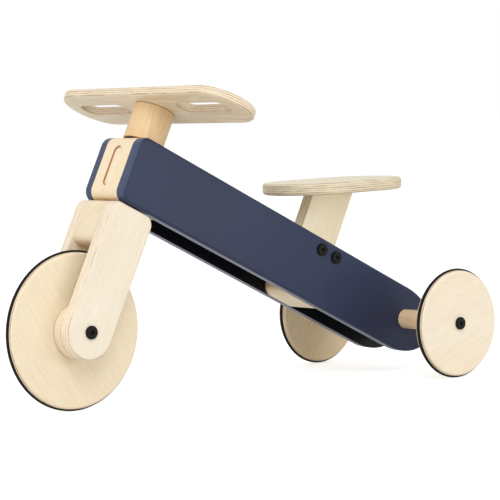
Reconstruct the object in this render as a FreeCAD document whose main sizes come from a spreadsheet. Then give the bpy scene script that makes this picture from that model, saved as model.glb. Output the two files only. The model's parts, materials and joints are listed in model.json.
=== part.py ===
"""Balance bike: two sloping planks, a turned steering column with a handle plate, a plywood fork
and one large front wheel, a plywood seat on a leaning post and two rear wheels on a thick dowel.

Frame: +Z up, front at -X, the rider's left at -Y, floor at Z = 0, millimetres.
The planks slope down to the rear by the rake, so most pieces are drawn in a leaning frame whose
origin is the rear axle: X runs rearwards along the planks, Z runs up square to them.
"""
import FreeCAD, Part
import Sketcher
import math
import os
import re

from FreeCAD import Vector

SIZES = {
    # stance
    "rake": 26.1,            # slope of the planks, and lean of the column and the seat post
    "reach": 467.7,          # rear axle to front axle, along the slope
    "track": 261.6,          # between the middles of the rear wheels
    "fork_lead": 4.3,        # front axle ahead of the column's axis
    # wheels
    "rear_radius": 70,
    "front_radius": 94.9,
    "wheel_width": 13,
    "rim_round": 3.5,
    "tyre_width": 4.6,       # of the round cord, half sunk in the rim
    "hub_width": 14,         # outside of the wheel bushes
    "hub_flange": 22,
    "hub_flange_thick": 0.7,
    "axle_width": 10,
    # clearances, across a diameter or an opening, and along an axis
    "run_gap": 0.1,
    "fit_gap": 0.1,
    "play": 0.3,
    # planks
    "panel_gap": 49.5,
    "panel_thick": 13.5,
    "panel_below": 43,
    "panel_above": 40,
    "panel_corner": 14,
    "panel_round": 3.5,
    "inner_round": 1,
    "tail_length": 63.3,     # half length of the oval rear end
    "tail_lead": 9.7,        # middle of that oval ahead of the rear axle
    # head
    "head_front": 31.2,
    "head_rear": 34,
    "recess_width": 16,
    "recess_length": 52,
    "recess_depth": 3,
    "recess_drop": 0.75,
    "bush_wall": 2,
    "bush_length": 15,
    "bush_flange": 46,
    "bush_flange_thick": 1.2,
    # dowel pins
    "dowel_width": 8,
    "dowel_length": 16,
    "dowel_bite": 6,         # depth in the plank or leg
    "dowel_chamfer": 0.8,
    "head_dowel_along": 22,
    "head_dowel_up": 22,
    "fork_dowel_along": 24,
    # column
    "column_width": 50,
    "column_length": 45.3,
    "column_round": 1,
    "spindle_width": 30,
    "tenon_width": 30,
    "tenon_height": 6,
    "steer_limit": 40,
    "stop_pin_width": 5,
    "stop_slot_depth": 4,
    "stop_gap": 0.4,
    "cross_pin_width": 6,
    # handle plate
    "plate_length": 327,
    "plate_width": 84,
    "plate_thick": 11,
    "plate_round": 3,
    "slot_length": 88,
    "slot_width": 23,
    "slot_aside": 95,
    "slot_lead": 2.5,
    "slot_round": 2.5,
    # fork
    "fork_spread": 71,       # outside of the legs
    "fork_width": 66,
    "fork_corner": 13,
    "leg_thick": 15,
    "leg_round": 3,
    "wheel_gap": 5.8,        # between the front tyre and the crown
    "crown_floor": 14.5,     # wood under the spindle's foot
    # cap bolts and sleeves
    "bolt_head": 16,
    "bolt_head_thick": 3,
    "bolt_head_round": 1,
    "bolt_width": 6,
    "bolt_length": 25,
    "socket_width": 4,
    "socket_depth": 2,
    "sleeve_width": 8,
    "sleeve_inset": 1,
    # rear axle
    "beam_width": 25,
    "beam_chamfer": 1,
    "insert_width": 12,
    "insert_length": 20,
    "thread_width": 8,
    "thread_length": 18,
    # seat
    "seat_lead": 161.1,      # seat post ahead of the rear axle
    "post_width": 62.8,
    "post_thick": 18,
    "post_round": 1,
    "block_below": 42.5,
    "block_above": 38,
    "block_corner": 14,
    "block_floor": 18,       # wood under the post's foot
    "bolt_spread": 26.3,
    "seat_bolt_up": 25.8,
    "seat_rise": 111.3,
    "seat_tilt": 1.1,        # rear edge up
    "seat_length": 198.5,
    "seat_width": 128,
    "seat_thick": 15,
    "seat_round": 4,
    "seat_shift": 6.3,       # middle of the seat behind the post
    "seat_tenon_thick": 12,
    "seat_tenon_width": 44,
    "seat_tenon_height": 8,
}

doc = FreeCAD.newDocument("BalanceBike")
sheet = doc.addObject("Spreadsheet::Sheet", "Sizes")
for row, (alias, size) in enumerate(SIZES.items(), 1):
    sheet.set(f"A{row}", alias)
    sheet.set(f"B{row}", str(size))
    sheet.setAlias(f"B{row}", alias)
doc.recompute()

nodes = []


# ---------------------------------------------------------------- expressions on the sheet
def full(text):
    """An expression with the sheet's name before each alias."""
    return re.sub(r"[a-z_]+", lambda word: f"Sizes.{word[0]}" if word[0] in SIZES else word[0], str(text))


def number(text):
    """The present value of an expression."""
    return float(sheet.evalExpression(full(text)))


# ---------------------------------------------------------------- sketches
def measure(sketch, kind, *where):
    """Add a constraint whose last item is an expression."""
    size = where[-1]
    index = sketch.addConstraint(Sketcher.Constraint(kind, *where[:-1], number(size)))
    sketch.setExpression(f"Constraints[{index}]", full(size))


def hold(sketch, item, end, x, y):
    """Hold one point of a sketch at x, y from the sketch's origin."""
    measure(sketch, "DistanceX", -1, 1, item, end, x)
    measure(sketch, "DistanceY", -1, 1, item, end, y)


def new_sketch(body, plane, level=0):
    """A sketch on one of the body's own planes, or at a level along that plane's normal."""
    sketch = body.newObject("Sketcher::SketchObject", f"{body.Name}_outline")
    flat = [item for item in body.Origin.OriginFeatures if item.Role == plane]
    sketch.AttachmentSupport = [(flat[0], "")]
    sketch.MapMode = "FlatFace"
    sketch.setExpression("AttachmentOffset.Base.z", full(level))
    return sketch


def polygon(sketch, points):
    """A closed outline of straight lines."""
    corners = [Vector(number(x), number(y), 0) for x, y in points]
    for start, stop in zip(corners, corners[1:] + corners[:1]):
        sketch.addGeometry(Part.LineSegment(start, stop))
    for index, (x, y) in enumerate(points):
        before = (index - 1) % len(points)
        sketch.addConstraint(Sketcher.Constraint("Coincident", before, 2, index, 1))
        hold(sketch, index, 1, x, y)


def circle(sketch, x, y, width):
    """A circle by its middle and diameter."""
    middle = Vector(number(x), number(y), 0)
    item = sketch.addGeometry(Part.Circle(middle, Vector(0, 0, 1), number(width) / 2))
    hold(sketch, item, 3, x, y)
    measure(sketch, "Diameter", item, width)


def stadium(sketch, x, y, length, width, upright):
    """A straight slot with round ends, long along the sketch's Y if upright, else along its X."""
    turn = math.pi / 2 if upright else 0
    ahead = Vector(math.cos(turn), math.sin(turn), 0)
    middle = Vector(number(x), number(y), 0)
    shift = f"(({length}) - ({width})) / 2"
    ends = []
    for sign in (1, -1):
        centre = middle + ahead * (sign * number(shift))
        start = turn - sign * math.pi / 2
        ring = Part.Circle(centre, Vector(0, 0, 1), number(width) / 2)
        ends.append(Part.ArcOfCircle(ring, start, start + math.pi))
    first, second = ends
    sketch.addGeometry(first)
    sketch.addGeometry(Part.LineSegment(first.EndPoint, second.StartPoint))
    sketch.addGeometry(second)
    sketch.addGeometry(Part.LineSegment(second.EndPoint, first.StartPoint))
    for item in range(4):
        sketch.addConstraint(Sketcher.Constraint("Tangent", item, 2, (item + 1) % 4, 1))
    sketch.addConstraint(Sketcher.Constraint("Equal", 0, 2))
    measure(sketch, "Radius", 0, f"({width}) / 2")
    for item, sign in ((0, "+"), (2, "-")):
        if upright:
            hold(sketch, item, 3, x, f"({y}) {sign} {shift}")
        else:
            hold(sketch, item, 3, f"({x}) {sign} {shift}", y)


# ---------------------------------------------------------------- bodies and features
def place(item, along, up, aside, turn, axis):
    """Bind an object's place: along and up in the leaning frame, and aside across the bike."""
    item.Placement = FreeCAD.Placement(Vector(0, 0, 0), FreeCAD.Rotation(axis, 1))
    item.setExpression("Placement.Rotation.Angle", full(turn))
    item.setExpression("Placement.Base.x", full(f"{rear_x} + ({along}) * cos(rake) + ({up}) * sin(rake)"))
    item.setExpression("Placement.Base.y", full(aside))
    item.setExpression("Placement.Base.z", full(f"rear_radius - ({along}) * sin(rake) + ({up}) * cos(rake)"))


def new_body(label, along=0, up=0, aside=0, turn="rake", axis=Vector(0, 1, 0)):
    """An empty body in its place."""
    body = doc.addObject("PartDesign::Body", label)
    body.Label = label
    place(body, along, up, aside, turn, axis)
    return body


def keep(item):
    """Count an object as one of the bike's nodes."""
    nodes.append(item)
    return item


def group(label, bodies):
    """Several equal pieces as one node."""
    item = doc.addObject("Part::Compound", label)
    item.Label = label
    item.Links = bodies
    return keep(item)


def pad(body, sketch, length, both=False, back=False):
    """Pad a sketch, to one side or to both."""
    feature = body.newObject("PartDesign::Pad", f"{body.Name}_pad")
    feature.Profile = sketch
    feature.SideType = "Symmetric" if both else "One side"
    feature.Reversed = back
    feature.setExpression("Length", full(length))
    doc.recompute()
    return feature


def pocket(body, sketch, depth=None, back=False):
    """Cut a sketch to a depth, or right through both ways, and make sure that it cut."""
    before = body.Shape.Volume
    feature = body.newObject("PartDesign::Pocket", f"{body.Name}_pocket")
    feature.Profile = sketch
    feature.Reversed = back
    if depth is None:
        feature.Type = "ThroughAll"
        feature.SideType = "Symmetric"
    else:
        feature.setExpression("Length", full(depth))
    doc.recompute()
    if not body.Shape.Volume < before - 0.01:
        raise ValueError(f"{feature.Name} cuts nothing")
    return feature


def revolve(body, sketch, axis, kind="PartDesign::Revolution"):
    """Turn a sketch about its own horizontal or vertical axis."""
    feature = body.newObject(kind, f"{body.Name}_turn")
    feature.Profile = sketch
    feature.ReferenceAxis = (sketch, [axis])
    feature.Angle = 360
    doc.recompute()
    return feature


def soften(body, kind, prop, size, chosen):
    """Fillet or chamfer the edges that the test picks."""
    base = body.Tip
    names = [f"Edge{index}" for index, edge in enumerate(base.Shape.Edges, 1) if chosen(edge)]
    if not names:
        raise ValueError(f"{body.Name} has no such edge")
    feature = body.newObject(kind, f"{body.Name}_{prop}")
    feature.Base = (base, names)
    feature.setExpression(prop, full(size))
    doc.recompute()
    return feature


def fillet(body, size, chosen):
    return soften(body, "PartDesign::Fillet", "Radius", size, chosen)


def chamfer(body, size, chosen):
    return soften(body, "PartDesign::Chamfer", "Size", size, chosen)


def near(value, text):
    return abs(value - number(text)) < 0.01


def in_plane(letter, *levels):
    """Edges that lie in a plane square to one axis."""
    def chosen(edge):
        box = edge.BoundBox
        low, high = getattr(box, letter + "Min"), getattr(box, letter + "Max")
        return any(near(low, level) and near(high, level) for level in levels)
    return chosen


def corners(*points):
    """Edges along Y that stand at x, z."""
    def chosen(edge):
        box = edge.BoundBox
        thin = box.XLength < 0.01 and box.ZLength < 0.01
        return thin and any(near(box.XMin, x) and near(box.ZMin, z) for x, z in points)
    return chosen


def every(*tests):
    return lambda edge: all(test(edge) for test in tests)


def ring_of(width):
    """Edges that are circles of one diameter."""
    return lambda edge: isinstance(edge.Curve, Part.Circle) and near(edge.Curve.Radius, f"({width}) / 2")


def turned(label, points, upright=False, **where):
    """A turned piece: points are level along the axis and radius, about Y, or about Z if upright."""
    body = new_body(label, **where)
    if upright:
        sketch = new_sketch(body, "XZ_Plane")
        polygon(sketch, [(radius, level) for level, radius in points])
    else:
        sketch = new_sketch(body, "YZ_Plane")
        polygon(sketch, points)
    revolve(body, sketch, "V_Axis" if upright else "H_Axis")
    return body


def flanged(near_face, flange_face, far_face, bore, outside, flange):
    """Profile of a bush: its flange ends at near_face, its tube at far_face."""
    inner, outer, rim = f"({bore}) / 2", f"({outside}) / 2", f"({flange}) / 2"
    return [(near_face, inner), (near_face, rim), (flange_face, rim), (flange_face, outer),
            (far_face, outer), (far_face, inner)]


def tube(label, length, outside, bore, **where):
    """A plain tube along Y."""
    half = f"({length}) / 2"
    inner, outer = f"({bore}) / 2", f"({outside}) / 2"
    points = [(f"-{half}", inner), (f"-{half}", outer), (half, outer), (half, inner)]
    return turned(label, points, **where)


def dowel_pin(label, **where):
    """A chamfered wooden pin along Y."""
    body = new_body(label, **where)
    sketch = new_sketch(body, "XZ_Plane")
    circle(sketch, 0, 0, "dowel_width")
    pad(body, sketch, "dowel_length", both=True)
    chamfer(body, "dowel_chamfer", ring_of("dowel_width"))
    return body


def dowel_holes(body, face, depth, back, spots):
    """Blind holes along Y in a face at that Y."""
    sketch = new_sketch(body, "XZ_Plane", f"-({face})")
    for x, z in spots:
        circle(sketch, x, z, "dowel_width + fit_gap")
    pocket(body, sketch, depth, back=back)


def cap_bolt(label, side, steps, **where):
    """A cap bolt along Y with a hexagon socket; its seat is at the body's origin."""
    points = [(0, "bolt_head / 2"), (f"{side} * bolt_head_thick", "bolt_head / 2"),
              (f"{side} * bolt_head_thick", 0)]
    level = "0"
    shank = []
    for width, length in steps:
        shank.append((f"{-side} * ({level})", f"({width}) / 2"))
        level = f"{level} + {length}"
        shank.append((f"{-side} * ({level})", f"({width}) / 2"))
    points.append((f"{-side} * ({level})", 0))
    body = turned(label, points + shank[::-1], **where)
    rim = every(in_plane("Y", f"{side} * bolt_head_thick"), ring_of("bolt_head"))
    fillet(body, "bolt_head_round", rim)
    sketch = new_sketch(body, "XZ_Plane", f"{-side} * bolt_head_thick")
    across = "socket_width / cos(30) / 2"
    polygon(sketch, [(f"{across} * cos({turn})", f"{across} * sin({turn})") for turn in range(0, 360, 60)])
    pocket(body, sketch, "socket_depth", back=side > 0)
    return body


# ---------------------------------------------------------------- places that several pieces share
drop = "((front_radius - rear_radius - reach * sin(rake)) / cos(rake))"
wheelbase = f"(reach * cos(rake) - {drop} * sin(rake))"
rear_x = f"((front_radius + {wheelbase} - rear_radius) / 2)"
head_x = "(-reach + fork_lead)"
outer_y = "(panel_gap / 2 + panel_thick)"
crown_width = "(fork_spread - 2 * leg_thick)"
fork_top = "(-panel_below - bush_flange_thick - play)"
crown_height = f"({fork_top} - {drop} - front_radius - wheel_gap)"
spindle_bite = f"({crown_height} - crown_floor)"
column_foot = "(panel_above + bush_flange_thick)"
plate_foot = f"({column_foot} + column_length)"
beam_end = "(track / 2 - wheel_width / 2 - hub_flange_thick - play)"
stop_up = "((panel_above - panel_below) / 2)"
stop_tip = "(spindle_width / 2 - stop_slot_depth + stop_gap)"
seat_turn = "(rake + seat_tilt)"
HEAD_DOWELS = [(x, z) for x in ("-head_dowel_along", "head_dowel_along")
               for z in ("-head_dowel_up", "head_dowel_up")]
SIDES = {"left": -1, "right": 1}


# ---------------------------------------------------------------- planks
def side_panel(label, side):
    """A painted plank: square front with round corners, oval rear end, all edges rounded over."""
    body = new_body(label, aside=f"{side} * (panel_gap + panel_thick) / 2")
    front = f"({head_x} - head_front)"
    middle = "(panel_above - panel_below) / 2"
    half = "(panel_above + panel_below) / 2"
    sketch = new_sketch(body, "XZ_Plane")
    left, low, high = number(front), number("-panel_below"), number("panel_above")
    back = number("-tail_lead")
    oval = Part.Ellipse(Vector(back, number(middle), 0), number("tail_length"), number(half))
    sketch.addGeometry(Part.LineSegment(Vector(back, high, 0), Vector(left, high, 0)))
    sketch.addGeometry(Part.LineSegment(Vector(left, high, 0), Vector(left, low, 0)))
    sketch.addGeometry(Part.LineSegment(Vector(left, low, 0), Vector(back, low, 0)))
    sketch.addGeometry(Part.ArcOfEllipse(oval, -math.pi / 2, math.pi / 2))
    sketch.exposeInternalGeometry(3)
    for item in range(4):
        sketch.addConstraint(Sketcher.Constraint("Coincident", item, 2, (item + 1) % 4, 1))
    hold(sketch, 1, 1, front, "panel_above")
    hold(sketch, 1, 2, front, "-panel_below")
    hold(sketch, 3, 3, "-tail_lead", middle)
    hold(sketch, 0, 1, "-tail_lead", "panel_above")
    measure(sketch, "DistanceX", -1, 1, 2, 2, "-tail_lead")
    sketch.addConstraint(Sketcher.Constraint("Horizontal", 4))
    measure(sketch, "Distance", 4, "2 * tail_length")
    pad(body, sketch, "panel_thick", both=True)
    fillet(body, "panel_corner", corners((front, "panel_above"), (front, "-panel_below")))
    fillet(body, "panel_round", in_plane("Y", f"{side} * panel_thick / 2"))
    fillet(body, "inner_round", in_plane("Y", f"{-side} * panel_thick / 2"))
    sketch = new_sketch(body, "XZ_Plane")
    circle(sketch, 0, 0, "beam_width + fit_gap")
    for sign in "-+":
        circle(sketch, f"-seat_lead {sign} bolt_spread / 2", "seat_bolt_up", "sleeve_width + fit_gap")
    pocket(body, sketch)
    spots = [(f"{head_x} + ({x})", z) for x, z in HEAD_DOWELS]
    dowel_holes(body, f"{-side} * panel_thick / 2", "dowel_bite + play", side < 0, spots)
    return keep(body)


for name, side in SIDES.items():
    side_panel(f"{name}_side_panel", side)


# ---------------------------------------------------------------- head
head = new_body("head_block", along=head_x)
sketch = new_sketch(head, "XZ_Plane")
polygon(sketch, [("-head_front", "-panel_below"), ("head_rear", "-panel_below"),
                 ("head_rear", "panel_above"), ("-head_front", "panel_above")])
pad(head, sketch, "panel_gap", both=True)
fillet(head, "panel_corner", corners(("-head_front", "-panel_below"), ("-head_front", "panel_above")))
sketch = new_sketch(head, "XY_Plane")
circle(sketch, 0, 0, "spindle_width + run_gap + 2 * bush_wall + fit_gap")
pocket(head, sketch)
sketch = new_sketch(head, "YZ_Plane", "-head_front")
stadium(sketch, 0, "-recess_drop", "recess_length", "recess_width", upright=True)
pocket(head, sketch, "recess_depth", back=True)
for side in (-1, 1):
    depth = "dowel_length - dowel_bite + play"
    dowel_holes(head, f"{side} * panel_gap / 2", depth, side > 0, HEAD_DOWELS)
sketch = new_sketch(head, "YZ_Plane", "head_rear")
circle(sketch, 0, stop_up, "stop_pin_width + fit_gap")
pocket(head, sketch, "head_rear - spindle_width / 2")
keep(head)

pins = []
for side in (-1, 1):
    for x, z in HEAD_DOWELS:
        aside = f"{side} * (panel_gap / 2 + dowel_bite - dowel_length / 2)"
        name = f"head_dowel_pin_{len(pins) + 1}"
        pins.append(dowel_pin(name, along=f"{head_x} + ({x})", up=z, aside=aside))
group("head_dowel_pins", pins)


def head_bush(label, face, sign):
    """A flanged bush pressed into one end of the head block's bore."""
    points = flanged(f"{face} {sign} bush_flange_thick", face, f"{face} {sign} (-bush_length)",
                     "spindle_width + run_gap", "spindle_width + run_gap + 2 * bush_wall", "bush_flange")
    keep(turned(label, points, upright=True, along=head_x))


head_bush("upper_head_bush", "panel_above", "+")
head_bush("lower_head_bush", "-panel_below", "-")

stop = new_body("steering_stop_pin", along=head_x, up=stop_up)
sketch = new_sketch(stop, "YZ_Plane", stop_tip)
circle(sketch, 0, 0, "stop_pin_width")
pad(stop, sketch, f"head_rear - {stop_tip}")
keep(stop)


# ---------------------------------------------------------------- steering column
spindle_foot = f"({fork_top} - {spindle_bite})"
column = turned("steering_column", [
    (spindle_foot, 0),
    (spindle_foot, "spindle_width / 2"),
    (column_foot, "spindle_width / 2"),
    (column_foot, "column_width / 2"),
    (plate_foot, "column_width / 2"),
    (plate_foot, "tenon_width / 2"),
    (f"{plate_foot} + tenon_height", "tenon_width / 2"),
    (f"{plate_foot} + tenon_height", 0),
], upright=True, along=head_x)
fillet(column, "column_round", every(in_plane("Z", column_foot), ring_of("column_width")))
# the slot that the stop pin runs in: part of a ring groove, open by the steering angle each way
sketch = new_sketch(column, "XZ_Plane")
slot_half = "(stop_pin_width / 2 + stop_gap)"
slot_root, slot_mouth = "spindle_width / 2 - stop_slot_depth", "spindle_width / 2 + play"
slot_low, slot_high = f"{stop_up} - {slot_half}", f"{stop_up} + {slot_half}"
polygon(sketch, [(slot_root, slot_low), (slot_mouth, slot_low),
                 (slot_mouth, slot_high), (slot_root, slot_high)])
before = column.Shape.Volume
slot = revolve(column, sketch, "V_Axis", "PartDesign::Groove")
slot.Midplane = True
slot.setExpression("Angle", full(f"2 * (steer_limit * 1 deg + asin({slot_half} / {stop_tip}))"))
doc.recompute()
if not column.Shape.Volume < before - 0.01:
    raise ValueError("the stop slot cuts nothing")
cross_up = f"({fork_top} - {spindle_bite} / 2)"
sketch = new_sketch(column, "XZ_Plane")
circle(sketch, 0, cross_up, "cross_pin_width + fit_gap")
pocket(column, sketch)
keep(column)


# ---------------------------------------------------------------- handle plate
plate = new_body("handle_plate", along=head_x)
sketch = new_sketch(plate, "XY_Plane", plate_foot)
stadium(sketch, 0, 0, "plate_length", "plate_width", upright=True)
pad(plate, sketch, "plate_thick")
faces = (plate_foot, f"{plate_foot} + plate_thick")
fillet(plate, "plate_round", in_plane("Z", *faces))
for side in (-1, 1):
    sketch = new_sketch(plate, "XY_Plane", plate_foot)
    stadium(sketch, "-slot_lead", f"{side} * slot_aside", "slot_length", "slot_width", upright=True)
    pocket(plate, sketch)


def slot_edge(edge):
    """Edges of the hand slots, which lie inside the plate's own outline."""
    reach_x = max(abs(edge.BoundBox.XMin), abs(edge.BoundBox.XMax))
    return in_plane("Z", *faces)(edge) and reach_x < number("plate_width / 2 - 2 * plate_round")


fillet(plate, "slot_round", slot_edge)
sketch = new_sketch(plate, "XY_Plane", plate_foot)
circle(sketch, 0, 0, "tenon_width + fit_gap")
pocket(plate, sketch, "tenon_height + play", back=True)
keep(plate)


# ---------------------------------------------------------------- fork
def fork_leg(label, side):
    """A plywood leg: round at the axle, square with round corners at the top."""
    body = new_body(label, along="-reach", up=drop, aside=f"{side} * (fork_spread - leg_thick) / 2")
    top, half = f"({fork_top} - {drop})", "fork_width / 2"
    high, wide = number(top), number(half)
    sketch = new_sketch(body, "XZ_Plane")
    round_end = Part.Circle(Vector(0, 0, 0), Vector(0, 0, 1), wide)
    sketch.addGeometry(Part.ArcOfCircle(round_end, math.pi, 2 * math.pi))
    sketch.addGeometry(Part.LineSegment(Vector(wide, 0, 0), Vector(wide, high, 0)))
    sketch.addGeometry(Part.LineSegment(Vector(wide, high, 0), Vector(-wide, high, 0)))
    sketch.addGeometry(Part.LineSegment(Vector(-wide, high, 0), Vector(-wide, 0, 0)))
    sketch.addConstraint(Sketcher.Constraint("Tangent", 0, 2, 1, 1))
    sketch.addConstraint(Sketcher.Constraint("Coincident", 1, 2, 2, 1))
    sketch.addConstraint(Sketcher.Constraint("Coincident", 2, 2, 3, 1))
    sketch.addConstraint(Sketcher.Constraint("Tangent", 3, 2, 0, 1))
    sketch.addConstraint(Sketcher.Constraint("Vertical", 1))
    sketch.addConstraint(Sketcher.Constraint("Vertical", 3))
    sketch.addConstraint(Sketcher.Constraint("Horizontal", 2))
    hold(sketch, 0, 3, 0, 0)
    measure(sketch, "Radius", 0, half)
    measure(sketch, "DistanceY", -1, 1, 2, 1, top)
    pad(body, sketch, "leg_thick", both=True)
    fillet(body, "fork_corner", corners((f"-{half}", top), (half, top)))
    fillet(body, "leg_round", in_plane("Y", f"{side} * leg_thick / 2"))
    fillet(body, "inner_round", in_plane("Y", f"{-side} * leg_thick / 2"))
    sketch = new_sketch(body, "XZ_Plane")
    circle(sketch, 0, 0, "axle_width + fit_gap")
    pocket(body, sketch)
    spots = [(f"{sign}fork_dowel_along", f"{top} - {crown_height} / 2") for sign in ("-", "")]
    dowel_holes(body, f"{-side} * leg_thick / 2", "dowel_bite + play", side < 0, spots)
    return keep(body)


for name, side in SIDES.items():
    fork_leg(f"fork_{name}_leg", side)

crown = new_body("fork_crown", along="-reach", up=fork_top)
sketch = new_sketch(crown, "XZ_Plane")
box = [("-fork_width / 2", f"-{crown_height}"), ("fork_width / 2", f"-{crown_height}"),
       ("fork_width / 2", 0), ("-fork_width / 2", 0)]
polygon(sketch, box)
pad(crown, sketch, crown_width, both=True)
fillet(crown, "fork_corner", corners(*box))
sketch = new_sketch(crown, "XY_Plane")
circle(sketch, "fork_lead", 0, "spindle_width + fit_gap")
pocket(crown, sketch, f"{spindle_bite} + play")
sketch = new_sketch(crown, "XZ_Plane")
circle(sketch, "fork_lead", f"-{spindle_bite} / 2", "cross_pin_width + fit_gap")
pocket(crown, sketch)
for side in (-1, 1):
    spots = [(f"{sign}fork_dowel_along", f"-{crown_height} / 2") for sign in ("-", "")]
    dowel_holes(crown, f"{side} * {crown_width} / 2", "dowel_length - dowel_bite + play", side > 0, spots)
keep(crown)

cross = new_body("crown_cross_pin", along=head_x, up=cross_up)
sketch = new_sketch(cross, "XZ_Plane")
circle(sketch, 0, 0, "cross_pin_width")
pad(cross, sketch, crown_width, both=True)
keep(cross)

pins = []
for side in (-1, 1):
    for sign in "-+":
        aside = f"{side} * ({crown_width} / 2 + dowel_bite - dowel_length / 2)"
        pins.append(dowel_pin(f"fork_dowel_pin_{len(pins) + 1}", along=f"-reach {sign} fork_dowel_along",
                              up=f"{fork_top} - {crown_height} / 2", aside=aside))
group("fork_dowel_pins", pins)


# ---------------------------------------------------------------- front axle
axle = {"along": "-reach", "up": drop}
spacer = f"(({crown_width} - wheel_width) / 2 - hub_flange_thick - play)"
discs = []
for name, side in SIDES.items():
    aside = f"{side} * ({crown_width} / 2 - {spacer} / 2)"
    disc = tube(f"{name}_spacer", spacer, "fork_width", "axle_width + fit_gap", aside=aside, **axle)
    fillet(disc, "inner_round", every(in_plane("Y", f"{-side} * {spacer} / 2"), ring_of("fork_width")))
    discs.append(disc)
group("front_wheel_spacers", discs)
sleeve_length = "fork_spread - 2 * sleeve_inset"
keep(tube("front_axle_sleeve", sleeve_length, "axle_width", "bolt_width + fit_gap", **axle))
group("front_axle_bolts", [
    cap_bolt(f"{name}_front_bolt", side, [("bolt_width", "bolt_length")],
             aside=f"{side} * fork_spread / 2", **axle)
    for name, side in SIDES.items()])


# ---------------------------------------------------------------- rear axle
beam = new_body("rear_axle_beam")
sketch = new_sketch(beam, "XZ_Plane")
circle(sketch, 0, 0, "beam_width")
pad(beam, sketch, f"2 * {beam_end}", both=True)
chamfer(beam, "beam_chamfer", ring_of("beam_width"))
for side in (-1, 1):
    sketch = new_sketch(beam, "XZ_Plane", f"{-side} * {beam_end}")
    circle(sketch, 0, 0, "insert_width + fit_gap")
    pocket(beam, sketch, "insert_length + play", back=side > 0)
keep(beam)
group("rear_axle_inserts", [
    tube(f"{name}_insert", "insert_length", "insert_width", "thread_width + fit_gap",
         aside=f"{side} * ({beam_end} - insert_length / 2)")
    for name, side in SIDES.items()])
shoulder = "(wheel_width + hub_flange_thick + 2 * play)"
group("rear_axle_bolts", [
    cap_bolt(f"{name}_rear_bolt", side, [("axle_width", shoulder), ("thread_width", "thread_length")],
             aside=f"{side} * ({beam_end} + {shoulder})")
    for name, side in SIDES.items()])


# ---------------------------------------------------------------- wheels
def wheel(name, radius, **where):
    """A plywood disc with a half-round groove in its rim, and the cord tyre in the groove."""
    rim, bore, half = f"({radius} - tyre_width / 2)", "(hub_width + fit_gap) / 2", "wheel_width / 2"
    disc = turned(f"{name}_disc", [(f"-{half}", bore), (f"-{half}", rim), (half, rim), (half, bore)], **where)
    fillet(disc, "rim_round", every(in_plane("Y", half, f"-{half}"), ring_of(f"2 * {rim}")))
    sketch = new_sketch(disc, "YZ_Plane")
    circle(sketch, 0, rim, "tyre_width + fit_gap")
    revolve(disc, sketch, "H_Axis", "PartDesign::Groove")
    keep(disc)
    tyre = new_body(f"{name.replace('_wheel', '')}_tyre", **where)
    sketch = new_sketch(tyre, "YZ_Plane")
    circle(sketch, 0, rim, "tyre_width")
    revolve(tyre, sketch, "H_Axis")
    keep(tyre)


def hub_bush(label, side, face, far, **where):
    """A flanged bush in a wheel's bore, with its flange outside one face of the wheel."""
    points = flanged(f"{side} * ({face} + hub_flange_thick)", f"{side} * ({face})", far,
                     "axle_width + run_gap", "hub_width", "hub_flange")
    return turned(label, points, **where)


wheel("front_wheel", "front_radius", **axle)
group("front_wheel_bushes", [
    hub_bush(f"{name}_front_bush", side, "wheel_width / 2", f"{side} * play / 2", **axle)
    for name, side in SIDES.items()])
for name, side in SIDES.items():
    spot = {"aside": f"{side} * track / 2"}
    wheel(f"rear_{name}_wheel", "rear_radius", **spot)
    keep(hub_bush(f"rear_{name}_wheel_bush", -side, "wheel_width / 2", f"{side} * wheel_width / 2", **spot))


# ---------------------------------------------------------------- seat
post_at = {"along": "-seat_lead"}
post_foot = "(-block_below + block_floor)"
block = new_body("seat_block", **post_at)
sketch = new_sketch(block, "XZ_Plane")
polygon(sketch, [("-post_width / 2", "-block_below"), ("post_width / 2", "-block_below"),
                 ("post_width / 2", "block_above"), ("-post_width / 2", "block_above")])
pad(block, sketch, "panel_gap", both=True)
low_corners = corners(("-post_width / 2", "-block_below"), ("post_width / 2", "-block_below"))
fillet(block, "block_corner", low_corners)
sketch = new_sketch(block, "YZ_Plane")
slot_side = "(post_thick + fit_gap) / 2"
polygon(sketch, [(f"-{slot_side}", post_foot), (slot_side, post_foot),
                 (slot_side, "block_above"), (f"-{slot_side}", "block_above")])
pocket(block, sketch)
bolt_spots = [(f"{sign}bolt_spread / 2", "seat_bolt_up") for sign in ("-", "")]
sketch = new_sketch(block, "XZ_Plane")
for x, z in bolt_spots:
    circle(sketch, x, z, "sleeve_width + fit_gap")
pocket(block, sketch)
keep(block)

post = new_body("seat_post", **post_at)
sketch = new_sketch(post, "XZ_Plane")
polygon(sketch, [("-post_width / 2", post_foot), ("post_width / 2", post_foot),
                 ("post_width / 2", f"seat_rise + post_width / 2 * tan({seat_turn})"),
                 ("-post_width / 2", f"seat_rise - post_width / 2 * tan({seat_turn})")])
pad(post, sketch, "post_thick", both=True)
long_edges = lambda edge: edge.BoundBox.YLength < 0.01 and edge.BoundBox.XLength < 0.01
fillet(post, "post_round", long_edges)
# the stub tenon leans with the post and ends level with the seat's plane
lean = f"seat_tenon_width / 2 * tan({seat_turn})"
tenon_up = f"seat_tenon_height / cos({seat_turn})"
tenon_root = "seat_rise - post_width"
sketch = new_sketch(post, "XZ_Plane")
polygon(sketch, [("-seat_tenon_width / 2", tenon_root), ("seat_tenon_width / 2", tenon_root),
                 ("seat_tenon_width / 2", f"seat_rise + {lean} + {tenon_up}"),
                 ("-seat_tenon_width / 2", f"seat_rise - {lean} + {tenon_up}")])
pad(post, sketch, "seat_tenon_thick", both=True)
sketch = new_sketch(post, "XZ_Plane")
for x, z in bolt_spots:
    circle(sketch, x, z, "sleeve_width + fit_gap")
pocket(post, sketch)
keep(post)

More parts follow.
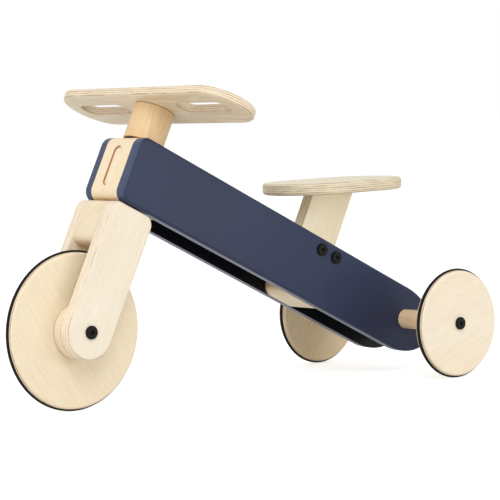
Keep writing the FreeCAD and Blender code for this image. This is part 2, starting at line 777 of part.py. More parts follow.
seat = new_body("seat_plate", along="-seat_lead", up="seat_rise", turn="seat_tilt", axis=Vector(0, -1, 0))
sketch = new_sketch(seat, "XY_Plane")
stadium(sketch, "seat_shift", 0, "seat_length", "seat_width", upright=False)
pad(seat, sketch, "seat_thick")
fillet(seat, "seat_round", in_plane("Z", 0, "seat_thick"))
deep = "(seat_tenon_height + play)"
half = f"((seat_tenon_width + fit_gap) / 2 / cos({seat_turn}))"
shift = f"{deep} * tan({seat_turn})"
sketch = new_sketch(seat, "XZ_Plane")
polygon(sketch, [(f"-{half}", 0), (half, 0), (f"{half} + {shift}", deep), (f"-{half} + {shift}", deep)])
mortise = seat.newObject("PartDesign::Pocket", "seat_mortise")
before = seat.Shape.Volume
mortise.Profile = sketch
mortise.SideType = "Symmetric"
mortise.setExpression("Length", full("seat_tenon_thick + fit_gap"))
doc.recompute()
if not seat.Shape.Volume < before - 0.01:
    raise ValueError("the seat's mortise cuts nothing")
keep(seat)

group("seat_bolt_sleeves", [
    tube(f"seat_sleeve_{index}", f"2 * ({outer_y} - sleeve_inset)", "sleeve_width", "bolt_width + fit_gap",
         along=f"-seat_lead + ({x})", up=z)
    for index, (x, z) in enumerate(bolt_spots, 1)])
group("seat_bolts", [
    cap_bolt(f"{name}_seat_bolt_{index}", side, [("bolt_width", "bolt_length")],
             along=f"-seat_lead + ({x})", up=z, aside=f"{side} * {outer_y}")
    for name, side in SIDES.items() for index, (x, z) in enumerate(bolt_spots, 1)])


# ---------------------------------------------------------------- check and export
doc.recompute()
for item in doc.Objects:
    if "Invalid" in item.State or "Error" in item.State:
        raise RuntimeError(f"{item.Label}: {item.State}")
for item in nodes:
    if item.Shape.isNull() or not item.Shape.isValid():
        raise RuntimeError(f"{item.Label}: no valid shape")

os.makedirs("parts", exist_ok=True)
for item in nodes:
    item.Shape.exportStep(f"parts/{item.Label}.step")
whole = Part.makeCompound([item.Shape for item in nodes]).BoundBox
print(len(nodes), "nodes,", sum(len(item.Shape.Solids) for item in nodes), "solids")
print(f"{whole.XLength:.0f} x {whole.YLength:.0f} x {whole.ZLength:.0f} mm")
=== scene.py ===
# %% [markdown]
# # A wooden balance bike
# This lesson dresses a small child's balance bike: two painted planks, a turned column, plywood
# wheels, fork, seat and handle plate. The solids come from the CAD model, in metres, with the
# floor at Z = 0, the front of the bike at -X and the rider's left at -Y. Here they get their
# wood, paint, rubber and steel. Their shapes are complete, so the lesson is about materials,
# light and the camera.

import json
import math

import bpy
from mathutils import Euler, Matrix, Vector


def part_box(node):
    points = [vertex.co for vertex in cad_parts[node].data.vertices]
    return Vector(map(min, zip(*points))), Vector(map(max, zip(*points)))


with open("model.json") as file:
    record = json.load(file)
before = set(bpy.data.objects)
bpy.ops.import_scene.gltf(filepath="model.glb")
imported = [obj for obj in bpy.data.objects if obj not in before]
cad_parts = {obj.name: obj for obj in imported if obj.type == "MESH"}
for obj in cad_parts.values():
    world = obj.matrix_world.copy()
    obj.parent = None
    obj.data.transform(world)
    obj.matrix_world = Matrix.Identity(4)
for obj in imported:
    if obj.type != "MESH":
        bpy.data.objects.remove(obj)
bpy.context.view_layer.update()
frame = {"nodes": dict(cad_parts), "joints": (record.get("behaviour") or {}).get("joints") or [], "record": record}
nodes = frame["nodes"]
joints = {joint["name"]: joint for joint in frame["joints"]}

# %% [markdown]
# The planks slope and the column leans by the same angle, the rake. Reading it from the
# steering joint keeps every pattern in line with its piece.

# %% The directions of the bike
lean = Vector(joints["steering"]["axis"]).normalized()
rake = math.atan2(lean.x, lean.z)
column_foot = Vector(joints["steering"]["pos_m"])
print("rake", round(math.degrees(rake), 2), "degrees")

# %% [markdown]
# ## Camera
# A long lens from the front left, at the height of the handle plate, shows near and far pieces at
# nearly one scale. The camera is set by its place, its aim and its roll, as on a tripod head.

# %% Set up the camera
def aim(yaw, pitch, roll):
    """A camera turned yaw degrees from +Y towards +X, pitch up and roll over."""
    yaw, pitch, roll = (math.radians(angle) for angle in (yaw, pitch, roll))
    level = Vector((math.sin(yaw), math.cos(yaw), 0))
    ahead = math.cos(pitch) * level + math.sin(pitch) * Vector((0, 0, 1))
    right = Vector((math.cos(yaw), -math.sin(yaw), 0))
    up = right.cross(ahead)
    across = math.cos(roll) * right + math.sin(roll) * up
    above = -math.sin(roll) * right + math.cos(roll) * up
    return Matrix((across, above, -ahead)).transposed()


CAMERA_PLACE = (-1.73533, -2.07387, 0.35079)
CAMERA_YAW, CAMERA_PITCH, CAMERA_ROLL = 40.4728, -3.7262, -1.3503
FOCAL_LENGTH = 156.70

lens = bpy.data.cameras.new("long_lens")
lens.sensor_width = 36
lens.lens = FOCAL_LENGTH
lens.clip_end = 50
camera = bpy.data.objects.new("camera", lens)
bpy.context.scene.collection.objects.link(camera)
pointing = aim(CAMERA_YAW, CAMERA_PITCH, CAMERA_ROLL).to_4x4()
camera.matrix_world = Matrix.Translation(CAMERA_PLACE) @ pointing
bpy.context.scene.camera = camera
print("camera with a", FOCAL_LENGTH, "mm lens,", round(Vector(CAMERA_PLACE).length, 2), "m away")

# %% [markdown]
# ## Tools for materials
# Paint charts give colours as they look on a screen, while shaders count in light, so one small
# function turns the first into the second. Another adds a node, sets it and wires it in one go.

# %% Helpers for shader nodes
def tint(red, green, blue):
    """A screen colour of 0 to 255 as the shader's linear colour."""
    parts = [value / 255 for value in (red, green, blue)]
    return [v / 12.92 if v <= 0.04045 else ((v + 0.055) / 1.055) ** 2.4 for v in parts] + [1]


def add(tree, kind, inputs=None, **settings):
    """Add a node; an input given as a socket is wired, and any other value is set."""
    node = tree.nodes.new(kind)
    for key, value in settings.items():
        setattr(node, key, value)
    for key, value in (inputs or {}).items():
        if isinstance(value, bpy.types.NodeSocket):
            tree.links.new(value, node.inputs[key])
        else:
            node.inputs[key].default_value = value
    return node


def maths(tree, operation, first, second=0.0, clamp=False):
    """One sum, as a Math node's output."""
    inputs = {0: first, 1: second}
    return add(tree, "ShaderNodeMath", inputs, operation=operation, use_clamp=clamp).outputs[0]


def blend(tree, share, first, second):
    """A mix of two colours, as an output."""
    inputs = {0: share, 6: first, 7: second}
    return add(tree, "ShaderNodeMix", inputs, data_type="RGBA").outputs[2]


def span(tree, value, low, high, start=0.0, stop=1.0, smooth=False):
    """Map a value from low..high to start..stop."""
    kind = "SMOOTHSTEP" if smooth else "LINEAR"
    inputs = {"Value": value, "From Min": low, "From Max": high, "To Min": start, "To Max": stop}
    return add(tree, "ShaderNodeMapRange", inputs, interpolation_type=kind).outputs[0]


def new_group(name, inputs, outputs):
    """An empty node group with named sockets; returns the tree, its inputs and its output node."""
    tree = bpy.data.node_groups.new(name, "ShaderNodeTree")
    for title, kind, value in inputs:
        socket = tree.interface.new_socket(title, in_out="INPUT", socket_type=f"NodeSocket{kind}")
        socket.default_value = value
    for title, kind in outputs:
        tree.interface.new_socket(title, in_out="OUTPUT", socket_type=f"NodeSocket{kind}")
    return tree, tree.nodes.new("NodeGroupInput").outputs, tree.nodes.new("NodeGroupOutput")


def noise(tree, vector, scale, detail=3.0, rough=0.55, distort=0.0):
    """A cloud of noise between 0 and 1."""
    inputs = {"Vector": vector, "Scale": scale, "Detail": detail, "Roughness": rough,
              "Distortion": distort}
    return add(tree, "ShaderNodeTexNoise", inputs).outputs["Fac"]


def stretch(tree, vector, scale):
    """Scale a vector along each of its axes."""
    inputs = {0: vector, 1: scale}
    return add(tree, "ShaderNodeVectorMath", inputs, operation="MULTIPLY").outputs[0]


def split(tree, vector):
    """The X, Y and Z of a vector, as outputs."""
    return add(tree, "ShaderNodeSeparateXYZ", {0: vector}).outputs


print("mid grey on a screen is", round(tint(128, 128, 128)[0], 3), "of the light")

# %% [markdown]
# ## Birch
# Birch veneer is peeled off the log, so its figure is broad and faint: pale clouds drawn out
# along the grain, a few darker flames, and very fine fibres and pores. A picture of wood would
# repeat and would have to be fitted to each piece, so one group makes the figure from noises that
# are stretched along the grain, which always runs along the vector's X.

# %% The figure of birch
# changes in a metre: along the grain, then across it both ways
CLOUDS, RINGS, STREAKS = (5, 16, 16), (2.8, 14, 14), (20, 480, 480)
FIBRES, PORES = (45, 900, 900), (110, 1900, 1900)
RING_LINES = 105.0
BIRCH_PALE, BIRCH_DEEP, PORE_BROWN = tint(247, 236, 214), tint(228, 203, 162), tint(160, 124, 84)

figure, given, result = new_group(
    "birch_figure",
    [("Vector", "Vector", (0, 0, 0)), ("Pale", "Color", BIRCH_PALE), ("Deep", "Color", BIRCH_DEEP),
     ("Flame", "Float", 0.5), ("Drift", "Float", 0.0)],
    [("Color", "Color"), ("Height", "Float")])
drift = add(figure, "ShaderNodeCombineXYZ", {axis: given["Drift"] for axis in "XYZ"}).outputs[0]
spot = add(figure, "ShaderNodeVectorMath", {0: given["Vector"], 1: drift}, operation="ADD").outputs[0]
clouds = noise(figure, stretch(figure, spot, CLOUDS), 1.0, 3, 0.5, 0.5)
rings = noise(figure, stretch(figure, spot, RINGS), 1.0, 1.5, 0.4, 1.0)
waves = maths(figure, "SINE", maths(figure, "MULTIPLY", rings, RING_LINES))
bands = span(figure, waves, -0.2, 1.0, 0.0, 1.0, True)
streaks = noise(figure, stretch(figure, spot, STREAKS), 1.0, 3, 0.6)
fibres = noise(figure, stretch(figure, spot, FIBRES), 1.0, 2, 0.6)
pores = span(figure, noise(figure, stretch(figure, spot, PORES), 1.0, 1, 0.5), 0.62, 0.72)
share = maths(figure, "MULTIPLY", maths(figure, "MULTIPLY", bands, given["Flame"]), 0.36)
share = maths(figure, "ADD", share, span(figure, clouds, 0.3, 0.7, 0.0, 0.32))
share = maths(figure, "ADD", share, span(figure, streaks, 0.35, 0.65, -0.1, 0.2))
share = maths(figure, "ADD", share, span(figure, fibres, 0.3, 0.7, -0.05, 0.08), clamp=True)
tone = blend(figure, share, given["Pale"], given["Deep"])
shade = blend(figure, maths(figure, "MULTIPLY", pores, 0.15), tone, PORE_BROWN)
figure.links.new(shade, result.inputs["Color"])
height = maths(figure, "SUBTRACT", maths(figure, "MULTIPLY", fibres, 0.5), pores)
figure.links.new(height, result.inputs["Height"])
print(figure.name, "has", len(figure.nodes), "nodes")

# %% [markdown]
# ## Plywood
# A sheet of birch plywood shows the figure on its two faces. On its edges it shows its layers:
# every second veneer is cut along the grain and stays pale, and those between are end grain and
# darker, with a thin brown glue line beside each. The group takes the place through the
# thickness, counts veneers there, and chooses between face and edge by where the surface looks.

# %% The layers of plywood
END_BROWN, GLUE_BROWN = tint(182, 140, 102), tint(140, 100, 72)
FLAT_FACE, SQUARE_EDGE = 0.97, 0.80     # how squarely a place looks along the thickness
DASHES = 34.0                           # changes in a metre along a layer
LAYER_SHIFT = 3.7                       # keeps the layers' dashes apart

plies, given, result = new_group(
    "plywood",
    [("Vector", "Vector", (0, 0, 0)), ("Facing", "Vector", (0, 0, 1)), ("Thickness", "Float", 0.015),
     ("Layers", "Float", 11.0), ("Pale", "Color", BIRCH_PALE), ("Deep", "Color", BIRCH_DEEP),
     ("End Grain", "Color", END_BROWN), ("Contrast", "Float", 0.8), ("Flame", "Float", 0.5),
     ("Drift", "Float", 0.0)],
    [("Color", "Color"), ("Height", "Float"), ("Edge", "Float")])
face = add(plies, "ShaderNodeGroup", node_tree=figure)
for key in ("Vector", "Pale", "Deep", "Flame", "Drift"):
    plies.links.new(given[key], face.inputs[key])
away = maths(plies, "ABSOLUTE", split(plies, given["Facing"])["Z"])
edge = span(plies, away, SQUARE_EDGE, FLAT_FACE, 1.0, 0.0, True)
where = split(plies, given["Vector"])
wander = noise(plies, stretch(plies, given["Vector"], (22, 22, 0)), 1.0, 2, 0.5)
wander = span(plies, wander, 0.3, 0.7, -0.12, 0.12)
depth = maths(plies, "DIVIDE", where["Z"], given["Thickness"])
count = maths(plies, "MULTIPLY", depth, given["Layers"])
# the half centres a layer on the sheet's middle, and the hundred keeps the count above zero
count = maths(plies, "ADD", maths(plies, "ADD", count, 100.5), wander)
place = maths(plies, "FRACT", count)
number = maths(plies, "FLOOR", count)
odd = maths(plies, "MODULO", number, 2.0)
off_middle = maths(plies, "ABSOLUTE", maths(plies, "SUBTRACT", place, 0.5))
glue = span(plies, off_middle, 0.36, 0.5, 0.0, 1.0, True)
core = span(plies, off_middle, 0.22, 0.5, 1.0, 0.0, True)
run = add(plies, "ShaderNodeCombineXYZ", {"X": maths(plies, "MULTIPLY", where["X"], DASHES),
                                          "Y": maths(plies, "MULTIPLY", where["Y"], DASHES),
                                          "Z": maths(plies, "MULTIPLY", number, LAYER_SHIFT)}).outputs[0]
dashes = span(plies, noise(plies, run, 1.0, 3, 0.6), 0.35, 0.65, 1.0, 0.3, True)
dashes = maths(plies, "MULTIPLY", dashes, core)
specks = noise(plies, stretch(plies, given["Vector"], (520, 520, 900)), 1.0, 2, 0.6)
dark = maths(plies, "MULTIPLY", maths(plies, "MULTIPLY", odd, dashes), given["Contrast"])
layer = blend(plies, span(plies, specks, 0.3, 0.7, 0.0, 0.5), given["Pale"], given["Deep"])
layer = blend(plies, dark, layer, given["End Grain"])
glue = maths(plies, "MULTIPLY", maths(plies, "MULTIPLY", glue, 0.16), given["Contrast"])
layer = blend(plies, glue, layer, GLUE_BROWN)
plies.links.new(blend(plies, edge, face.outputs["Color"], layer), result.inputs["Color"])
rough_edge = maths(plies, "SUBTRACT", specks, maths(plies, "MULTIPLY", glue, 0.6))
flat = maths(plies, "MULTIPLY", maths(plies, "SUBTRACT", 1.0, edge), face.outputs["Height"])
mixed = maths(plies, "ADD", flat, maths(plies, "MULTIPLY", edge, rough_edge))
plies.links.new(mixed, result.inputs["Height"])
plies.links.new(edge, result.inputs["Edge"])
print(plies.name, "has", len(plies.nodes), "nodes")

# %% [markdown]
# Each piece is cut from its sheet in its own direction, so each gets its own material. It turns the
# object's own coordinates so that X runs along the grain and Z through the thickness, and does the
# same to the normal. Everything after that is shared.

# %% From a piece to its material
def turn_to(tree, turn, centre):
    """Object place and normal, centred on a piece and turned into its own directions."""
    source = add(tree, "ShaderNodeTexCoord")
    offset = turn.to_matrix() @ Vector(centre)
    inputs = {"Vector": source.outputs["Object"], "Location": -offset, "Rotation": turn}
    spot = add(tree, "ShaderNodeMapping", inputs, vector_type="POINT").outputs[0]
    inputs = {"Vector": source.outputs["Normal"], "Rotation": turn}
    normal = add(tree, "ShaderNodeMapping", inputs, vector_type="VECTOR").outputs[0]
    return spot, normal


def new_material(name):
    """An empty material with a Principled shader wired to its output."""
    material = bpy.data.materials.new(name)
    material.use_nodes = True
    tree = material.node_tree
    tree.nodes.clear()
    shader = add(tree, "ShaderNodeBsdfPrincipled")
    add(tree, "ShaderNodeOutputMaterial", {"Surface": shader.outputs[0]})
    return material, tree, shader


def bump(tree, shader, height, distance, strength=1.0):
    """Wire a height to the shader's normal."""
    node = add(tree, "ShaderNodeBump", {"Height": height, "Distance": distance, "Strength": strength})
    tree.links.new(node.outputs[0], shader.inputs["Normal"])


def wear(node, material):
    """Give a solid one material all over."""
    piece = nodes[node]
    piece.data.materials.clear()
    piece.data.materials.append(material)


def middle_of(node):
    """The middle of a solid's box."""
    low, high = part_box(node)
    return (low + high) / 2


print("middle of the front wheel, mm:", [round(1000 * v) for v in middle_of("front_wheel_disc")])

# %% [markdown]
# Toys get a clear lacquer that sinks in and leaves a satin sheen, so the relief of the grain is
# very fine, and the edges, which drink more of it, are rougher than the faces. Round the hand
# slots the edges are browner than at the rim, which two spans across the plate pick out.

# %% The material of a plywood piece
def finish_wood(tree, shader, colour, height, rough):
    """Clear satin lacquer over a wood colour."""
    tree.links.new(colour, shader.inputs["Base Color"])
    tree.links.new(rough, shader.inputs["Roughness"])
    shader.inputs["Specular IOR Level"].default_value = 0.35
    bump(tree, shader, height, 0.00008, 0.6)


LOOKS = {"flame": "Flame", "contrast": "Contrast", "pale": "Pale", "deep": "Deep", "end": "End Grain"}
SOAKED_BROWN, SOAKED_SHARE = tint(150, 122, 88), 0.4
SLOT_FADE = 0.001


def plywood(name, centre, turn, sheet, drift, slots=None, **looks):
    """A plywood material for one piece.

    sheet is its thickness and number of layers, looks are the group's inputs by their short names,
    and slots is half the length and half the width of the part that holds the soaked edges.
    """
    material, tree, shader = new_material(name)
    spot, normal = turn_to(tree, turn, centre)
    thickness, layers = sheet
    inputs = {LOOKS[key]: value for key, value in looks.items()}
    inputs.update({"Vector": spot, "Facing": normal, "Thickness": thickness, "Layers": layers,
                   "Drift": drift})
    node = add(tree, "ShaderNodeGroup", inputs, node_tree=plies)
    rough = span(tree, node.outputs["Edge"], 0.0, 1.0, 0.48, 0.66)
    colour = node.outputs["Color"]
    if slots:
        place = split(tree, spot)
        soaked = node.outputs["Edge"]
        for axis, half in zip("XY", slots):
            away = maths(tree, "ABSOLUTE", place[axis])
            soaked = maths(tree, "MULTIPLY", soaked, span(tree, away, half, half + SLOT_FADE, 1.0, 0.0))
        colour = blend(tree, maths(tree, "MULTIPLY", soaked, SOAKED_SHARE), colour, SOAKED_BROWN)
    finish_wood(tree, shader, colour, node.outputs["Height"], rough)
    return material


print("looks a piece can set:", ", ".join(LOOKS))

# %% [markdown]
# The wheels, spacers, legs and seat post come from sheets of different thickness. The face grain
# of each wheel runs its own way, as discs do that are laid out on a sheet to waste little of it.
# A table holds what differs, so that one line dresses them all.

# %% The plywood pieces
# the turns that bring a piece's thickness to Z and its grain to X
ALONG_BIKE = Euler((math.radians(90), 0, 0))
ALONG_LEAN = Euler((math.radians(90), 0, math.radians(90) - rake), "XYZ")


def wheel_turn(slant):
    """The turn for a wheel whose face grain rises by slant degrees towards the rear."""
    return Euler((math.radians(90), 0, math.radians(slant)))


# each sheet's thickness and number of layers; the two spacers share one sheet that spans both
WHEEL_SHEET, SPACER_SHEET = (0.013, 9.0), (0.041, 27.0)
LEG_SHEET, POST_SHEET = (0.015, 7.0), (0.018, 9.0)

# piece: material, turn, sheet, drift, looks
sheet_pieces = {
    "front_wheel_disc": ("front_wheel_ply", wheel_turn(-56), WHEEL_SHEET, 0.13,
                         dict(flame=0.3, contrast=1.2,
                              pale=tint(245, 232, 207), deep=tint(233, 212, 177))),
    "front_wheel_spacers": ("spacer_ply", ALONG_BIKE, SPACER_SHEET, 0.41,
                            dict(contrast=0.25, pale=tint(248, 236, 214), deep=tint(230, 208, 172))),
    "rear_left_wheel_disc": ("rear_left_wheel_ply", wheel_turn(17), WHEEL_SHEET, 0.77,
                             dict(flame=0.28, contrast=1.2,
                                  pale=tint(249, 238, 218), deep=tint(236, 217, 184))),
    # the far rear wheel stands in shade, so its tones are painted yellower as painted warm light in that shade
    "rear_right_wheel_disc": ("rear_right_wheel_ply", wheel_turn(64), WHEEL_SHEET, 0.31,
                              dict(flame=0.4, contrast=1.2,
                                   pale=tint(255, 238, 204), deep=tint(240, 208, 156))),
    "seat_post": ("seat_post_ply", ALONG_LEAN, POST_SHEET, 2.3,
                  dict(flame=0.2, contrast=0.7, pale=tint(255, 246, 222), deep=tint(242, 219, 176))),
}
for side, drift in (("left", 1.77), ("right", 1.31)):
    sheet_pieces[f"fork_{side}_leg"] = (
        f"fork_{side}_ply", ALONG_LEAN, LEG_SHEET, drift,
        dict(flame=0.15, contrast=0.5, pale=tint(248, 240, 224), deep=tint(231, 211, 176)))
for piece, (name, turn, sheet, drift, looks) in sheet_pieces.items():
    wear(piece, plywood(name, middle_of(piece), turn, sheet, drift, **looks))
print("plywood:", ", ".join(sheet_pieces))

# %% [markdown]
# The handle plate and the seat are plywood too, but their thickness stands along the leaning
# column and nearly upright. The plate turns with the rake, and the seat's tilt comes from the
# direction of the flat face that the record gives for it.

# %% The handle plate and the seat
PLATE_SHEET, SEAT_SHEET = (0.011, 8.0), (0.015, 11.0)
SLOT_REACH = (0.15, 0.018)

plate_turn = Euler((0, -rake, 0))
quarter = Matrix.Rotation(math.radians(90), 3, "Z") @ plate_turn.to_matrix()
wear("handle_plate", plywood("handle_plate_ply", middle_of("handle_plate"), quarter.to_euler("XYZ"),
                             PLATE_SHEET, 3.1, SLOT_REACH, flame=0.7, contrast=0.7,
                             deep=tint(214, 186, 140), end=tint(146, 110, 74)))
seat_normal = Vector(frame["record"]["mounts"][0]["axis"])
seat_tilt = math.atan2(-seat_normal.x, seat_normal.z)
wear("seat_plate", plywood("seat_ply", middle_of("seat_plate"), Euler((0, seat_tilt, 0)),
                           SEAT_SHEET, 4.4, flame=0.3, contrast=0.9, pale=tint(236, 230, 206),
                           deep=tint(218, 198, 160), end=tint(156, 120, 86)))
print("seat tilted by", round(math.degrees(seat_tilt), 2), "degrees")

# %% [markdown]
# ## Solid wood
# The blocks are solid birch and the column, axle beam and pins are turned from dowel, so their
# grain runs one way all through, and the ends show rings instead of layers. Two marks on them are
# painted shade: the walls of the recess in the head block are painted brown, and the top of the
# column, where the plate sits on it, is painted darker.

# %% Solid wood
RECESS_HALF, RECESS_END = 0.028, 0.03     # the marks reach this far to either side and fade out
AHEAD_FROM, AHEAD_FULL = 0.02, 0.021      # only wood this far ahead of the column is freshly cut
WALL_FADE, LIP_FADE = 0.0002, 0.0003
TOP_SHADE_FADE, TOP_SHADE_SHARE = 0.0008, 0.7
# the second brown here is painted shade for the walls of the recess
END_GRAIN, RECESS_WALL_SHADE = tint(186, 138, 88), tint(168, 124, 80)
# the last brown here is painted shade at the top of the column, where the plate sits on it
PALE_CUT, COLUMN_TOP_SHADE = tint(253, 241, 218), tint(126, 84, 46)


def solid_wood(name, centre, turn, drift, pale, deep, flame, milled=None, shaded_from=None):
    """Birch or beech cut from the solid, with its grain along the turned X.

    milled gives the heights, along the turned Z, between which the recess walls get painted shade,
    and the last argument the place along the turned X above which the column gets painted shade under the plate.
    """
    material, tree, shader = new_material(name)
    spot, normal = turn_to(tree, turn, centre)
    inputs = {"Vector": spot, "Pale": pale, "Deep": deep, "Flame": flame, "Drift": drift}
    node = add(tree, "ShaderNodeGroup", inputs, node_tree=figure)
    ends = span(tree, maths(tree, "ABSOLUTE", split(tree, normal)["X"]), 0.7, 0.95, 0.0, 1.0, True)
    spread = noise(tree, stretch(tree, spot, (60, 700, 700)), 1.0, 2, 0.6)
    deeper = blend(tree, span(tree, spread, 0.3, 0.7, 0.3, 0.7), deep, END_GRAIN)
    colour = blend(tree, maths(tree, "MULTIPLY", ends, 0.8), node.outputs["Color"], deeper)
    if milled:
        bottom, lip = milled
        place = split(tree, spot)
        within = span(tree, maths(tree, "ABSOLUTE", place["X"]), RECESS_HALF, RECESS_END, 1.0, 0.0)
        # painted shade: the recess walls are painted brown, darker than the wood around them
        above = span(tree, place["Z"], bottom, bottom + WALL_FADE)
        below = span(tree, place["Z"], lip - LIP_FADE, lip, 1.0, 0.0)
        wall_shade = maths(tree, "MULTIPLY", above, below)
        colour = blend(tree, maths(tree, "MULTIPLY", wall_shade, within), colour, RECESS_WALL_SHADE)
        base = span(tree, place["Z"], bottom - WALL_FADE, bottom, 1.0, 0.0)
        base = maths(tree, "MULTIPLY", base, span(tree, place["Z"], AHEAD_FROM, AHEAD_FULL))
        colour = blend(tree, maths(tree, "MULTIPLY", base, within), colour, PALE_CUT)
    # painted shade: the column is painted darker from this height up, where the plate sits on it
    if shaded_from:
        top_shade = span(tree, split(tree, spot)["X"], shaded_from - TOP_SHADE_FADE, shaded_from, 0.0, TOP_SHADE_SHARE)
        colour = blend(tree, top_shade, colour, COLUMN_TOP_SHADE)
    rough = span(tree, ends, 0.0, 1.0, 0.46, 0.62)
    finish_wood(tree, shader, colour, node.outputs["Height"], rough)
    return material


print("recess marks reach", round(1000 * RECESS_END), "mm to either side")

# %% [markdown]
# The blocks are birch, and the column, beam and pins look like beech dowel, which is pinker. The
# grain runs up the lean in the column, head block and crown, down the slope in the seat block and
# from side to side in the beam and pins.

# %% The solid pieces
UP_LEAN = Euler((0, math.radians(90) - rake, 0))
SIDEWAYS = Euler((0, 0, math.radians(-90)))
DOWN_SLOPE = Euler((0, -rake, 0))
HEAD_RECESS = (0.0283, 0.0309)      # its floor and its lip, ahead of the column's axis
COLUMN_SHADE_FROM = 0.0858                # where the painted shade starts, up the column, below the plate
birch = tint(244, 231, 206), tint(225, 200, 158)
head_birch = tint(250, 233, 204), tint(232, 205, 164)
beech = tint(238, 209, 166), tint(214, 172, 120)
dowel_beech = tint(250, 222, 186), tint(226, 184, 138)

wear("head_block", solid_wood("head_block_birch", column_foot, UP_LEAN, 5.2, *head_birch, 0.3,
                              milled=HEAD_RECESS))
wear("fork_crown", solid_wood("fork_crown_birch", middle_of("fork_crown"), UP_LEAN, 5.9, *birch, 0.3))
wear("seat_block", solid_wood("seat_block_birch", middle_of("seat_block"), DOWN_SLOPE, 6.3, *birch, 0.3))
wear("steering_column", solid_wood("column_beech", column_foot, UP_LEAN, 7.7, *beech, 0.35,
                                   shaded_from=COLUMN_SHADE_FROM))
dowel = solid_wood("dowel_beech", middle_of("rear_axle_beam"), SIDEWAYS, 8.8, *dowel_beech, 0.5)
for name in ("rear_axle_beam", "head_dowel_pins", "fork_dowel_pins", "crown_cross_pin"):
    wear(name, dowel)
print("solid wood on the head block, crown, seat block, column, beam and pins")

# %% [markdown]
# ## Paint
# The planks are sprayed a deep navy with a satin sheen, and spray leaves a very fine orange peel.
# The direction a face points picks its colour, and both shifts are painted light and shade: front
# ends and undersides are painted a little bluer and paler as painted light from the lamps and the
# floor, and the inner sides, between the planks, are painted almost black as painted shade. One
# function paints both planks, since only the side that faces inwards changes.

# %% Navy paint
COAT_DARK, COAT_LIGHT = tint(44, 52, 79), tint(47, 56, 83)
# a paler blue as painted light on front ends and undersides, and near black as painted shade on the inner sides
RIM_PAINTED_LIGHT, INNER_PAINTED_SHADE = tint(70, 81, 108), tint(14, 17, 23)


def navy_paint(name, side):
    """Satin navy for one plank; side is -1 for the rider's left and 1 for the right."""
    material, tree, shader = new_material(name)
    spot, normal = turn_to(tree, DOWN_SLOPE, column_foot)
    mist = noise(tree, stretch(tree, spot, (9, 9, 9)), 1.0, 3, 0.5)
    facing = split(tree, normal)
    # painted light: front ends, which face the lamps, and undersides, lit by the floor, are painted paler and
    # bluer
    front = span(tree, facing["X"], -0.9, -0.25, 1.0, 0.0, True)
    under = span(tree, facing["Z"], -1.0, -0.8, 0.7, 0.0, True)
    rim_light = maths(tree, "MAXIMUM", front, under)
    # painted shade: the side that faces the other plank is painted almost black
    inwards = maths(tree, "MULTIPLY", facing["Y"], float(-side))
    inner_shade = span(tree, inwards, 0.4, 0.9, 0.0, 1.0, True)
    coat = blend(tree, span(tree, mist, 0.3, 0.7), COAT_DARK, COAT_LIGHT)
    colour = blend(tree, inner_shade, blend(tree, rim_light, coat, RIM_PAINTED_LIGHT), INNER_PAINTED_SHADE)
    tree.links.new(colour, shader.inputs["Base Color"])
    peel = noise(tree, stretch(tree, spot, (420, 420, 420)), 1.0, 2, 0.5)
    tree.links.new(span(tree, mist, 0.2, 0.8, 0.3, 0.36), shader.inputs["Roughness"])
    shader.inputs["Specular IOR Level"].default_value = 0.12
    shader.inputs["Coat Weight"].default_value = 0.08
    shader.inputs["Coat Roughness"].default_value = 0.12
    bump(tree, shader, peel, 0.00002, 0.4)
    return material


wear("left_side_panel", navy_paint("navy_left", -1))
wear("right_side_panel", navy_paint("navy_right", 1))
print("paint on both planks")

# %% [markdown]
# ## Rubber, nylon and blackened steel
# The tyres are round black rubber cords, half sunk in a groove round each wheel. The bushes are
# moulded nylon, the cap bolts are black oxide steel, and the sleeves, inserts and stop pin inside
# are zinc plated. These pieces are small, so a colour that drifts a little is enough for them.

# %% Rubber, nylon and steel
def plain(name, colour, second, scale, rough, metal=0.0, level=0.5):
    """A material whose colour and roughness drift a little over the piece."""
    material, tree, shader = new_material(name)
    spot = add(tree, "ShaderNodeTexCoord").outputs["Object"]
    grain = noise(tree, spot, scale, 4, 0.6)
    drifting = blend(tree, span(tree, grain, 0.3, 0.7), colour, second)
    tree.links.new(drifting, shader.inputs["Base Color"])
    tree.links.new(span(tree, grain, 0.3, 0.7, rough - 0.06, rough + 0.06), shader.inputs["Roughness"])
    shader.inputs["Metallic"].default_value = metal
    shader.inputs["Specular IOR Level"].default_value = level
    bump(tree, shader, grain, 0.00002, 0.5)
    return material


rubber = plain("tyre_rubber", tint(10, 10, 10), tint(16, 16, 15), 500, 0.65, level=0.15)
nylon = plain("bush_nylon", tint(24, 24, 25), tint(30, 30, 31), 700, 0.5)
black_steel = plain("blackened_steel", tint(6, 6, 5), tint(12, 11, 9), 900, 0.36, level=0.12)
zinc = plain("zinc_plate", tint(176, 178, 180), tint(150, 152, 155), 800, 0.35, metal=1.0)
for name in nodes:
    if name.endswith("tyre"):
        wear(name, rubber)
    elif "bush" in name:
        wear(name, nylon)
for name in ("front_axle_bolts", "seat_bolts", "rear_axle_bolts"):
    wear(name, black_steel)
for name in ("front_axle_sleeve", "seat_bolt_sleeves", "rear_axle_inserts", "steering_stop_pin"):
    wear(name, zinc)
print("small pieces in", ", ".join(item.name for item in (rubber, nylon, black_steel, zinc)))

# %% [markdown]
# ## Studio
# A pale floor runs to the horizon and the world behind it is the same white, so no line shows
# between them. The floor glows a little where the camera or a reflection sees it, which keeps it
# white and still lets the soft shadows under the wheels darken it.

# %% The floor
FLOOR_GLOW = 0.6
FLOOR_TO_LIGHT, FLOOR_TO_EYE = tint(228, 225, 220), tint(240, 240, 242)


def seen_directly(tree):
    """1 where the camera, a reflection or a clear thing looks, and 0 where light only bounces."""
    path = add(tree, "ShaderNodeLightPath").outputs
    seen = maths(tree, "MAXIMUM", path["Is Camera Ray"], path["Is Glossy Ray"])
    return maths(tree, "MAXIMUM", seen, path["Is Transmission Ray"])


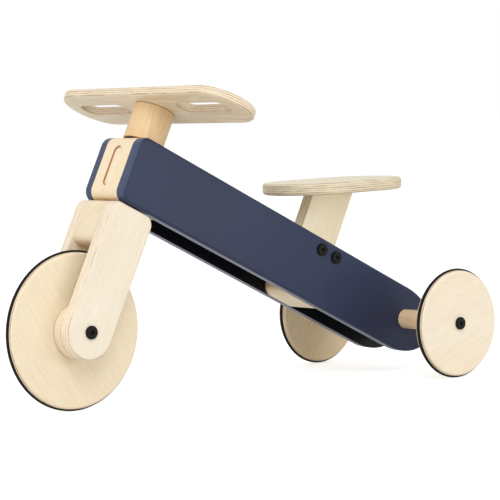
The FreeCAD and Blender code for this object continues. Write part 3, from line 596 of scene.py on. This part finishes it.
bpy.ops.object.select_all(action="DESELECT")
bpy.ops.mesh.primitive_plane_add(size=60, location=(0, 0, 0))
floor = bpy.context.object
floor.name = "floor"
material = bpy.data.materials.new("floor_white")
material.use_nodes = True
tree = material.node_tree
tree.nodes.clear()
seen = seen_directly(tree)
glow = add(tree, "ShaderNodeEmission", {"Color": (1, 1, 1, 1),
                                        "Strength": maths(tree, "MULTIPLY", seen, FLOOR_GLOW)})
pale = blend(tree, seen, FLOOR_TO_LIGHT, FLOOR_TO_EYE)
matt = add(tree, "ShaderNodeBsdfDiffuse", {"Color": pale})
both = add(tree, "ShaderNodeAddShader", {0: glow.outputs[0], 1: matt.outputs[0]})
add(tree, "ShaderNodeOutputMaterial", {"Surface": both.outputs[0]})
floor.data.materials.append(material)
print("floor glows at", FLOOR_GLOW)

# %% [markdown]
# The world is white to look at, and its light is weaker and a little warm, as light that has
# bounced between the walls of a room is. That fills the shadows without flattening the wood.

# %% The world
WORLD_LIGHT, WORLD_WARMTH = 0.54, (1.0, 0.98, 0.935, 1)

world = bpy.data.worlds.new("studio")
bpy.context.scene.world = world
world.use_nodes = True
tree = world.node_tree
tree.nodes.clear()
seen = seen_directly(tree)
strength = span(tree, seen, 0.0, 1.0, WORLD_LIGHT, 1.0)
light = blend(tree, seen, WORLD_WARMTH, (1, 1, 1, 1))
sky = add(tree, "ShaderNodeBackground", {"Color": light, "Strength": strength})
add(tree, "ShaderNodeOutputWorld", {"Surface": sky.outputs[0]})
print("world lights at", WORLD_LIGHT)

# %% [markdown]
# Four wide square lamps stand round the bike, as softboxes do: their size makes the shadows soft.
# The strongest hangs above the camera's side, and a weak one behind lifts the far edges.

# %% The lamps
def softbox(name, place, target, size, power):
    """A square area lamp that looks at a point."""
    lamp = bpy.data.lights.new(name, "AREA")
    lamp.shape = "SQUARE"
    lamp.size = size
    lamp.energy = power
    item = bpy.data.objects.new(name, lamp)
    bpy.context.scene.collection.objects.link(item)
    look = (Vector(target) - Vector(place)).to_track_quat("-Z", "Y")
    item.matrix_world = Matrix.Translation(place) @ look.to_matrix().to_4x4()


# name: place, target, size and power
softboxes = {
    "key": ((-1.1, -1.6, 1.9), (0, 0, 0.2), 1.6, 27),
    "front": ((-2.2, 0.2, 0.7), (0, 0, 0.2), 1.2, 10),
    "fill": ((1.1, -2.2, 0.5), (0, 0, 0.15), 1.4, 13),
    "back": ((0.9, 2.3, 1.6), (0, 0, 0.2), 1.8, 9),
}
for name, settings in softboxes.items():
    softbox(name, *settings)
print("softboxes:", ", ".join(softboxes))

bpy.context.scene.view_settings.view_transform = "Standard"

# %% [markdown]
# ## Bare solids
# Nothing was added outside the solids, so the box of all that is seen is the box of the CAD model.
# Any solid left without a material is named.

# %% Solids left without a material, and the end of the lesson
for name in nodes:
    if nodes[name].data.materials[0] is None:
        print("bare:", name)
